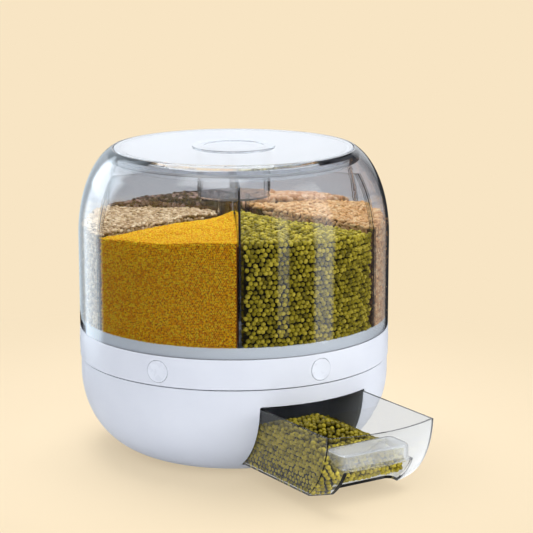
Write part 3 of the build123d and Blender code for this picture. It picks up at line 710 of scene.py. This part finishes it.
def fill_compartment(index, name, fill, seed, finish):
    """Grain of one compartment, counted from the one over the drawer."""
    middle = -math.pi / 2 + SECTOR * index
    dice = random.Random(FIRST_DICE + index)
    heap = new_heap()
    wedge_core(heap, middle, fill, core_skin(seed))
    thick = seed["half"][2] * MM
    rib = RIB_HALF + seed["half"][1] * MM
    clear = VANE_HALF + thick * VANE_SNUG
    spots = wall_spots(dice, middle, fill, seed, thick, rib)
    spots += top_spots(dice, middle, fill, seed, thick, clear)
    spots += vane_spots(dice, middle, fill, seed, thick, rib, clear)
    pour(heap, dice, spots, seed)
    print(name, "seeds:", len(spots))
    heap_piece(name, heap, finish, "rotor")


print("first dice:", FIRST_DICE)

# %% [markdown]
# ### Six kinds of grain
# Mung beans lie over the drawer, then brown rice, peanuts, kidney beans, barley and millet, going round.
# Half sizes are in millimetres: length, width and thickness. Millet is far smaller than the rest, so its
# seeds have the fewest faces. A fill says how high the grain stands at the wall, how it leans, how it
# rises to the middle and how wavy its top is, all in millimetres, and how wide a strip shows along a
# divider.

# %% Fill the compartments
MUNG = {"half": (2.4, 2.15, 2.1), "pitch": 4.65, "tilt": 0.7, "vary": 0.08, "round": 2}
RICE = {"half": (3.4, 1.75, 1.6), "pitch": 4.2, "tilt": 0.5, "vary": 0.12, "round": 2}
PEANUT = {"half": (4.4, 3.7, 3.6), "pitch": 7.0, "tilt": 0.6, "vary": 0.1, "round": 2}
KIDNEY = {"half": (3.4, 2.4, 2.2), "pitch": 4.9, "tilt": 0.6, "vary": 0.1, "round": 2}
BARLEY = {"half": (2.5, 1.6, 1.45), "pitch": 3.6, "tilt": 0.5, "vary": 0.12, "round": 2}
MILLET = {"half": (1.0, 0.95, 0.92), "pitch": 1.84, "tilt": 0.7, "vary": 0.12, "round": 1}

MUNG_FILL = {"level": 220, "lean": -4, "crown": 6, "wave": 1.5, "strip": 16}
RICE_FILL = {"level": 220, "lean": 0, "crown": 9, "wave": 2.5, "strip": 16}
PEANUT_FILL = {"level": 220, "lean": -2, "crown": 12, "wave": 3, "strip": 30}
KIDNEY_FILL = {"level": 217, "lean": 0, "crown": 17, "wave": 2.5, "strip": 20}
BARLEY_FILL = {"level": 216, "lean": 0, "crown": 8, "wave": 2.5, "strip": 14}
MILLET_FILL = {"level": 219.5, "lean": 4.5, "crown": 4, "wave": 1.5, "strip": 6}

fill_compartment(0, "mung_heap", MUNG_FILL, MUNG, mung_skin)
fill_compartment(1, "rice_heap", RICE_FILL, RICE, rice_skin)
fill_compartment(2, "peanut_heap", PEANUT_FILL, PEANUT, peanut_skin)
fill_compartment(3, "kidney_heap", KIDNEY_FILL, KIDNEY, kidney_skin)
fill_compartment(4, "barley_heap", BARLEY_FILL, BARLEY, barley_skin)
fill_compartment(5, "millet_heap", MILLET_FILL, MILLET, millet_skin)

# %% [markdown]
# ### Beans in the drawer
# The drawer was filled before it was pulled out. Its beans lie high along the left wall and slope down to
# the right wall at their angle of rest, and they stop behind the finger pocket. The drawer's front
# follows the bowl, so the room inside it ends in a curve.

# %% Room in the drawer
DRAWER_LOW, DRAWER_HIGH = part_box("drawer_tub")
DRAWER_WALL = 2.2 * MM
BOWL_R, BOWL_FLAT_R = 144.4 * MM, 82.2 * MM
BOWL_ARC_Z, BOWL_ARC_H = 76.1 * MM, 74.6 * MM
PULL = 103 * MM
POCKET_HALF = 36.2 * MM
POCKET_BACK = -200.8 * MM
ROOM_X = DRAWER_HIGH.x - DRAWER_WALL
ROOM_BACK = DRAWER_HIGH.y - DRAWER_WALL
ROOM_Z = DRAWER_LOW.z + DRAWER_WALL
BEAN_WAVE_SCALE, BEAN_WAVE, BEAN_WAVE_SLICE = 30.0, 2.0, 0.3
LEFT_TOP, LEFT_Y, LEFT_SLOPE = 66 * MM, -0.150, 0.02
RIGHT_TOP, RIGHT_X, RIGHT_SLOPE = 47 * MM, 0.028, 0.5
REAR_TOP, REAR_Y, REAR_SLOPE = 51 * MM, -0.118, 0.45
FRONT_TOP, FRONT_SLOPE = 51 * MM, 0.55
BESIDE_POCKET, BESIDE_SLOPE = 2 * MM, 1.6


def drawer_front(x, z):
    """Inner face of the drawer's front, which follows the bowl."""
    sink = min(1.0, max(0.0, (BOWL_ARC_Z - z) / BOWL_ARC_H))
    reach = BOWL_FLAT_R + (BOWL_R - BOWL_FLAT_R) * math.sqrt(1 - sink * sink) - DRAWER_WALL
    return -PULL - math.sqrt(reach * reach - x * x)


def drawer_height(x, y):
    """Height of the beans in the drawer: the lowest of the slopes that they slide down on."""
    wave = noise.noise(Vector((x, y, BEAN_WAVE_SLICE)) * BEAN_WAVE_SCALE) * BEAN_WAVE * MM
    left = LEFT_TOP - max(0.0, LEFT_Y - y) * LEFT_SLOPE
    right = RIGHT_TOP + RIGHT_SLOPE * (RIGHT_X - x)
    rear = REAR_TOP - REAR_SLOPE * (y - REAR_Y)
    beside = max(0.0, -POCKET_HALF - x - BESIDE_POCKET) * BESIDE_SLOPE
    front = FRONT_TOP + FRONT_SLOPE * (y - POCKET_BACK) + beside
    return min(left, right, rear, front) + wave


room = (2 * ROOM_X, ROOM_BACK - POCKET_BACK, DRAWER_HIGH.z - ROOM_Z)
print("room behind the pocket in mm:", [round(length / MM, 1) for length in room])

# %% [markdown]
# The core fills the drawer behind the pocket, and a tongue of it lies beside the pocket on the left. Its
# foot flares out to the walls, so that no light shows under the beans and the core's painted shade fills the
# view there.

# %% Core of the drawer's heap
CORE_CLEAR = 0.6 * MM
TONGUE_FRONT = -0.228
CORE_STEPS = 20


def drawer_core(heap, skin):
    """Core of the drawer's heap, coloured with painted shade, with a tongue beside the finger pocket."""
    x_low, x_high = -ROOM_X + skin, ROOM_X - skin
    blocks = ((x_low, x_high, POCKET_BACK + skin, ROOM_BACK - skin),
              (x_low, -POCKET_HALF - skin, TONGUE_FRONT, POCKET_BACK + skin))
    for x0, x1, y0, y1 in blocks:
        grid = bmesh.ops.create_grid(heap, x_segments=CORE_STEPS, y_segments=CORE_STEPS, size=0.5)
        for vert in grid["verts"]:
            x = x0 + (x1 - x0) * (vert.co.x + 0.5)
            y = y0 + (y1 - y0) * (vert.co.y + 0.5)
            vert.co = Vector((x, y, max(drawer_height(x, y) - skin, ROOM_Z + 2 * skin)))
        for vert in extrude(heap, grid_faces(grid), True)[1]:
            vert.co.z = ROOM_Z + CORE_CLEAR
            if abs(abs(vert.co.x) - x_high) < CORE_CLEAR:
                vert.co.x = math.copysign(ROOM_X - CORE_CLEAR, vert.co.x)
            vert.co.y = max(vert.co.y, drawer_front(vert.co.x, vert.co.z) + CORE_CLEAR)
    bmesh.ops.recalc_face_normals(heap, faces=heap.faces[:])


drawer_heap = new_heap()
drawer_core(drawer_heap, core_skin(MUNG))
print("core of the drawer's heap, faces:", len(drawer_heap.faces))

# %% [markdown]
# The beans on top of the heap follow its slopes, behind the front and clear of the pocket.

# %% Beans on top of the drawer's heap
DRAWER_DICE = 7
PAST_FRONT = -0.25
BEAN_T = MUNG["half"][2] * MM
BEAN_PITCH = MUNG["pitch"] * MM
ACROSS = (-ROOM_X + BEAN_T, ROOM_X - BEAN_T)
ALONG = (PAST_FRONT, ROOM_BACK - BEAN_T)


def behind_front(x, y, z):
    """Whether a bean lies behind the drawer's front."""
    return y > drawer_front(x, z) + BEAN_T


def clear_of_pocket(x, y):
    """Whether a bean lies behind the finger pocket, or beside it on the left."""
    return y > POCKET_BACK + BEAN_T or x < -POCKET_HALF - BEAN_T


def drawer_top_spots(dice):
    """Beans on top of the drawer's heap."""
    spots = []
    for x, y in honeycomb(dice, *ACROSS, *ALONG, BEAN_PITCH):
        z = drawer_height(x, y) - BEAN_T * dice.uniform(*TOP_SUNK)
        if clear_of_pocket(x, y) and z > ROOM_Z + BEAN_T and behind_front(x, y, z):
            spots.append((Vector((x, y, z)), UP))
    return spots


drawer_dice = random.Random(DRAWER_DICE)
top_beans = drawer_top_spots(drawer_dice)
print("beans on top:", len(top_beans))

# %% [markdown]
# The drawer is clear, so the beans that lie against its sides, its front, the pocket and its floor show
# too.

# %% Beans against the drawer's walls
BEAN_SNUG, FRONT_SNUG, FRONT_BELOW = 1.05, 1.1, 0.6
UPWARDS = (ROOM_Z + BEAN_T, DRAWER_HIGH.z)


def drawer_wall_spots(dice):
    """Beans against the drawer's sides, its front, the side of the pocket and the floor."""
    spots = []
    for side in (-1, 1):
        x = side * (ROOM_X - BEAN_T * BEAN_SNUG)
        for y, z in honeycomb(dice, *ALONG, *UPWARDS, BEAN_PITCH):
            if clear_of_pocket(x, y) and z < drawer_height(x, y) - BEAN_T and behind_front(x, y, z):
                spots.append((Vector((x, y, z)), Vector((side, 0, 0))))
    for x, z in honeycomb(dice, *ACROSS, *UPWARDS, BEAN_PITCH):
        y = POCKET_BACK + BEAN_T * BEAN_SNUG
        if x < -POCKET_HALF - BEAN_T:
            y = drawer_front(x, z) + BEAN_T * FRONT_SNUG
        if z < drawer_height(x, y) - BEAN_T * FRONT_BELOW:
            spots.append((Vector((x, y, z)), Vector((0, -1, 0))))
    x = -POCKET_HALF - BEAN_T * BEAN_SNUG
    for y, z in honeycomb(dice, PAST_FRONT, POCKET_BACK, *UPWARDS, BEAN_PITCH):
        if z < drawer_height(x, y) - BEAN_T and behind_front(x, y, z):
            spots.append((Vector((x, y, z)), Vector((1, 0, 0))))
    z = ROOM_Z + BEAN_T * BEAN_SNUG
    for x, y in honeycomb(dice, *ACROSS, *ALONG, BEAN_PITCH):
        if clear_of_pocket(x, y) and behind_front(x, y, z) and drawer_height(x, y) > z + BEAN_T:
            spots.append((Vector((x, y, z)), -UP))
    return spots


wall_beans = drawer_wall_spots(drawer_dice)
print("beans against the walls:", len(wall_beans))

# %% [markdown]
# The beans on top get painted shade: their colour is kept darker, as if in the drawer's own shade. Those
# against the walls and the floor, seen through the plastic, get painted light: their colour is kept paler.

# %% Pour the drawer's beans
# Painted shade for the top beans and painted light for those against the walls.
TOP_PAINTED_SHADE, WALL_PAINTED_LIGHT = 0.66, 1.5

pour(drawer_heap, drawer_dice, top_beans, MUNG, TOP_PAINTED_SHADE)
pour(drawer_heap, drawer_dice, wall_beans, MUNG, WALL_PAINTED_LIGHT)
heap_piece("drawer_beans", drawer_heap, mung_skin, "drawer")

# %% [markdown]
# ## Spring copies
# A pressed button squeezes the coil spring between its gate and the hub, and a stiff coil would be run
# through by the gate. Here each spring is only copied: the copy takes its mesh in world place, and the
# imported spring is hidden.


def live_spring(index):
    """Spring of one valve, counted from the one over the drawer."""
    node = f"return_spring_{index + 1}"
    coil = bpy.data.objects.new(f"live_spring_{index + 1}", parts[node].data.copy())
    scene.collection.objects.link(coil)
    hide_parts(node)
    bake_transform(coil)
    return coil


springs = [live_spring(index) for index in range(COMPARTMENTS)]

# %% [markdown]
# ## Stage and light
# The floor is one large plain sheet in a pale cream. A single face is enough, and it reaches so far out
# that its edge is lost against the world, which has the same colour.

# %% Floor sheet
CREAM = (0.939, 0.783, 0.552)
FLOOR_HALF = 40.0

floor_mesh = bpy.data.meshes.new("floor_sheet")
sheet = bmesh.new()
bmesh.ops.create_grid(sheet, x_segments=1, y_segments=1, size=FLOOR_HALF)
sheet.to_mesh(floor_mesh)
sheet.free()
floor = bpy.data.objects.new("floor_sheet", floor_mesh)
scene.collection.objects.link(floor)
print("floor half width in m:", FLOOR_HALF)

# %% [markdown]
# ### The floor's finish
# The finish answers each kind of ray in its own way. The camera sees an even cream, with a soft shadow
# that is mixed in round the object and fades out with the distance from it.

# %% Floor as the camera sees it
SHADOW_TINT, SHADOW_SHARE = 0.9, 0.45
SHADOW_NEAR, SHADOW_FAR = 0.12, 0.55


def smooth_step(tree, value, near, far, start=0.0, end=1.0):
    """Number that eases from start to end between two distances."""
    step = tree.nodes.new("ShaderNodeMapRange")
    step.interpolation_type = "SMOOTHSTEP"
    for socket, number in (("From Min", near), ("From Max", far), ("To Min", start), ("To Max", end)):
        step.inputs[socket].default_value = number
    tree.links.new(value, step.inputs["Value"])
    return step.outputs["Result"]


floor_finish, floor_tree, floor_shader = new_finish("cream_floor")
even = floor_tree.nodes.new("ShaderNodeEmission")
even.inputs["Color"].default_value = (*CREAM, 1)
shadowed = floor_tree.nodes.new("ShaderNodeBsdfDiffuse")
shadowed.inputs["Color"].default_value = [SHADOW_TINT * part for part in CREAM] + [1]
place = floor_tree.nodes.new("ShaderNodeTexCoord")
from_middle = floor_tree.nodes.new("ShaderNodeVectorMath")
from_middle.operation = "LENGTH"
floor_tree.links.new(place.outputs["Object"], from_middle.inputs[0])
distance = from_middle.outputs["Value"]
seen = floor_tree.nodes.new("ShaderNodeMixShader")
shadow = smooth_step(floor_tree, distance, SHADOW_NEAR, SHADOW_FAR, SHADOW_SHARE, 0.0)
floor_tree.links.new(shadow, seen.inputs["Fac"])
floor_tree.links.new(even.outputs["Emission"], seen.inputs[1])
floor_tree.links.new(shadowed.outputs["BSDF"], seen.inputs[2])
print("shadow fades out by", SHADOW_FAR, "m")

# %% [markdown]
# Light that bounces off the floor is neutral, as in a white studio. Clear plastic sees a painted pool of
# light on it, a glow that fades with distance, and gloss sees a smaller and dimmer one. Each pool has a near
# and a far distance and two colours.

# %% Floor for all other rays
FLOOR_GREY, FLOOR_ROUGH, FLOOR_GLOSS = (0.84, 0.84, 0.84), 0.9, 0.1
POOL_IN_PLASTIC = (0.3, 0.9, (0.94, 0.93, 0.91), (0.66, 0.67, 0.70))
POOL_IN_GLOSS = (0.28, 0.46, (0.42, 0.41, 0.39), (0.03, 0.031, 0.035))


def painted_light_pool(tree, value, near, far, near_colour, far_colour):
    """Painted pool of light: floor that glows bright near the object and falls off into the dim studio."""
    pool = tree.nodes.new("ShaderNodeEmission")
    spread = smooth_step(tree, value, near, far)
    blend_colours(tree, pool.inputs["Color"], spread, near_colour, far_colour, WHOLE_RANGE)
    return pool.outputs["Emission"]


floor_shader.inputs["Base Color"].default_value = (*FLOOR_GREY, 1)
floor_shader.inputs["Roughness"].default_value = FLOOR_ROUGH
floor_shader.inputs["Specular IOR Level"].default_value = FLOOR_GLOSS
# These two are painted pools of light, glowing on the floor for plastic and gloss rays.
in_plastic = painted_light_pool(floor_tree, distance, *POOL_IN_PLASTIC)
in_gloss = painted_light_pool(floor_tree, distance, *POOL_IN_GLOSS)
surface = choose_by_ray(floor_tree, "Is Transmission Ray", floor_shader.outputs["BSDF"], in_plastic)
surface = choose_by_ray(floor_tree, "Glossy Depth", surface, in_gloss)
surface = choose_by_ray(floor_tree, "Is Camera Ray", surface, seen.outputs["Shader"])
floor_tree.links.new(surface, floor_tree.nodes["Material Output"].inputs["Surface"])
floor_mesh.materials.append(floor_finish)
print("floor finish:", floor_finish.name)

# %% [markdown]
# ### The world
# The world follows the floor: it lights the object evenly with a cool white, and the camera sees the same
# cream. It is pale grey through the plastic and dim in gloss, so that only the cards draw bands on the
# barrel.

# %% World
SKY_LIGHT, SKY_STRENGTH = (0.86, 0.90, 1.0), 0.55
SKY_IN_PLASTIC = (0.70, 0.71, 0.74)
SKY_IN_GLOSS = (0.06, 0.063, 0.072)

world = bpy.data.worlds.new("studio")
scene.world = world
world.use_nodes = True
sky = world.node_tree


def sky_colour(colour):
    """Plain sky of one colour."""
    plain = sky.nodes.new("ShaderNodeBackground")
    plain.inputs["Color"].default_value = (*colour, 1)
    return plain.outputs["Background"]


all_round = sky.nodes["Background"]
all_round.inputs["Color"].default_value = (*SKY_LIGHT, 1)
all_round.inputs["Strength"].default_value = SKY_STRENGTH
surround = all_round.outputs["Background"]
surround = choose_by_ray(sky, "Is Transmission Ray", surround, sky_colour(SKY_IN_PLASTIC))
surround = choose_by_ray(sky, "Glossy Depth", surround, sky_colour(SKY_IN_GLOSS))
surround = choose_by_ray(sky, "Is Camera Ray", surround, sky_colour(CREAM))
sky.links.new(surround, sky.nodes["World Output"].inputs["Surface"])
print("world:", world.name)

# %% [markdown]
# ### Lamps
# A lamp or a card is placed by its azimuth and elevation: azimuth 0 stands in front of the drawer and 90
# on the right. The object sits at the middle, so each one looks there. Three soft lamps light the object
# from the left, the front and the right, a low one reaches the front of the bowl, and the top one is the
# only lamp that shows in gloss.

# %% Lamps
MIDDLE = Vector((0.0, -0.02, 0.14))


def stand_at(azimuth, elevation, distance):
    """Where a lamp or card stands, turned so that it faces the object."""
    a, e = math.radians(azimuth), math.radians(elevation)
    back = Vector((math.sin(a) * math.cos(e), -math.cos(a) * math.cos(e), math.sin(e)))
    turn = (-back).to_track_quat("-Z", "Y").to_matrix().to_4x4()
    return Matrix.Translation(MIDDLE + back * distance) @ turn


def soft_lamp(name, stand, width, height, watts, mirrored=False):
    """Oval lamp, which shows in gloss only if it is mirrored."""
    data = bpy.data.lights.new(name, "AREA")
    data.shape = "ELLIPSE"
    data.size = width
    data.size_y = height
    data.energy = watts
    lamp = bpy.data.objects.new(name, data)
    scene.collection.objects.link(lamp)
    lamp.matrix_world = stand
    lamp.visible_camera = False
    lamp.visible_transmission = False
    lamp.visible_glossy = mirrored


soft_lamp("key_lamp", stand_at(-85, 38, 2.2), 1.6, 1.6, 2.5)
soft_lamp("front_lamp", stand_at(-20, 30, 2.4), 1.2, 1.0, 8)
soft_lamp("fill_lamp", stand_at(50, 27, 2.4), 1.6, 1.4, 11.5)
soft_lamp("low_lamp", stand_at(8, -3, 1.2), 0.5, 0.12, 2.8)
soft_lamp("top_lamp", stand_at(170, 72, 2.0), 1.5, 1.5, 37, mirrored=True)

# %% [markdown]
# ### Cards
# A card is a sheet that only reflections see, so a bright band can be drawn without changing the light.
# It glows in the middle and fades to nothing at its edges, which gives the band a soft border.

# %% Card maker
GLOW = "glow"
PALE = (0.93, 0.96, 1.0)
CARD_STEPS = 12
EDGE_FADE = 2.5


def card_finish(name, strength, tint):
    """Glow that fades out where the card's own attribute falls to 0."""
    finish, tree, _ = new_finish(name)
    own = tree.nodes.new("ShaderNodeAttribute")
    own.attribute_name = GLOW
    shine = tree.nodes.new("ShaderNodeEmission")
    shine.inputs["Color"].default_value = (*tint, 1)
    shine.inputs["Strength"].default_value = strength
    clear = tree.nodes.new("ShaderNodeBsdfTransparent")
    soft = tree.nodes.new("ShaderNodeMixShader")
    tree.links.new(own.outputs["Fac"], soft.inputs["Fac"])
    tree.links.new(clear.outputs["BSDF"], soft.inputs[1])
    tree.links.new(shine.outputs["Emission"], soft.inputs[2])
    tree.links.new(soft.outputs["Shader"], tree.nodes["Material Output"].inputs["Surface"])
    return finish


def white_card(name, stand, width, height, strength, tint=PALE):
    """Card that only reflections see, bright in the middle and soft at its edges."""
    mesh = bpy.data.meshes.new(name)
    flat = bmesh.new()
    glow_of = flat.verts.layers.float.new(GLOW)
    bmesh.ops.create_grid(flat, x_segments=CARD_STEPS, y_segments=CARD_STEPS, size=0.5)
    for vert in flat.verts:
        edge = max(abs(vert.co.x), abs(vert.co.y)) * 2
        vert[glow_of] = min(1.0, (1 - edge) * EDGE_FADE)
    bmesh.ops.transform(flat, matrix=stand @ Matrix.Diagonal((width, height, 1, 1)), verts=flat.verts[:])
    flat.to_mesh(mesh)
    flat.free()
    card = bpy.data.objects.new(name, mesh)
    scene.collection.objects.link(card)
    mesh.materials.append(card_finish(name, strength, tint))
    card.visible_camera = False
    card.visible_diffuse = False
    card.visible_transmission = False
    card.visible_shadow = False


print("points across a card:", CARD_STEPS + 1)

# %% [markdown]
# The cards draw the bright bands on the lid, down the left side and over the shoulder, in streaks down
# the front, and on the drawer. Those on the left are a cooler white.

# %% Cards
COOL = (0.78, 0.90, 1.0)

white_card("lid_card", stand_at(148, 13, 2.2), 2.6, 1.0, 1.15)
white_card("left_card", stand_at(-148, 5, 0.50), 0.30, 1.2, 3.9, COOL)
white_card("left_veil", stand_at(-168, 5, 0.56), 0.62, 1.3, 1.2, COOL)
white_card("shoulder_card", stand_at(-147, 26, 0.49), 0.36, 0.20, 6.5, COOL)
white_card("right_card", stand_at(95, -9, 0.56), 0.30, 0.5, 0.5)
white_card("veil_card", stand_at(20, 30, 3.0), 2.75, 2.0, 1.2)
white_card("crown_card", stand_at(-60, 62, 1.2), 0.9, 0.5, 4.5)
white_card("front_card", stand_at(30, 14, 0.55), 0.18, 0.8, 3.0)
white_card("drawer_card", stand_at(0, 8, 0.62), 0.10, 0.5, 2.0)
white_card("table_card", Matrix.Translation((0.15, -0.27, 0.002)), 0.24, 0.24, 2.4)
meshes = [item.data for item in scene.objects if item.type == "MESH"]
print("cards:", sum(GLOW in mesh.attributes for mesh in meshes))

# %% [markdown]
# ## Camera
# The photograph's camera stands a little to the left of the drawer's front and looks down at about twelve
# degrees through a long lens. Its place, tilt and focal length were worked out from the rims of the bowl,
# ring and barrel.

# %% Camera
CAMERA_AT = Vector((-0.968, -1.549, 0.571))
CAMERA_PITCH = math.radians(-12.363)
CAMERA_PAN = math.radians(0.956)
FOCAL_PX, FRAME_PX, SENSOR_MM = 1989.29, 533, 36.0

camera_data = bpy.data.cameras.new("camera")
camera_data.sensor_width = SENSOR_MM
camera_data.lens = FOCAL_PX * SENSOR_MM / FRAME_PX
camera = bpy.data.objects.new("camera", camera_data)
scene.collection.objects.link(camera)
heading = math.atan2(-CAMERA_AT.x, -CAMERA_AT.y) + CAMERA_PAN
level = math.cos(CAMERA_PITCH)
forward = Vector((math.sin(heading) * level, math.cos(heading) * level, math.sin(CAMERA_PITCH)))
camera.matrix_world = Matrix.Translation(CAMERA_AT) @ forward.to_track_quat("-Z", "Y").to_matrix().to_4x4()
scene.camera = camera
print("lens:", round(camera_data.lens, 2))
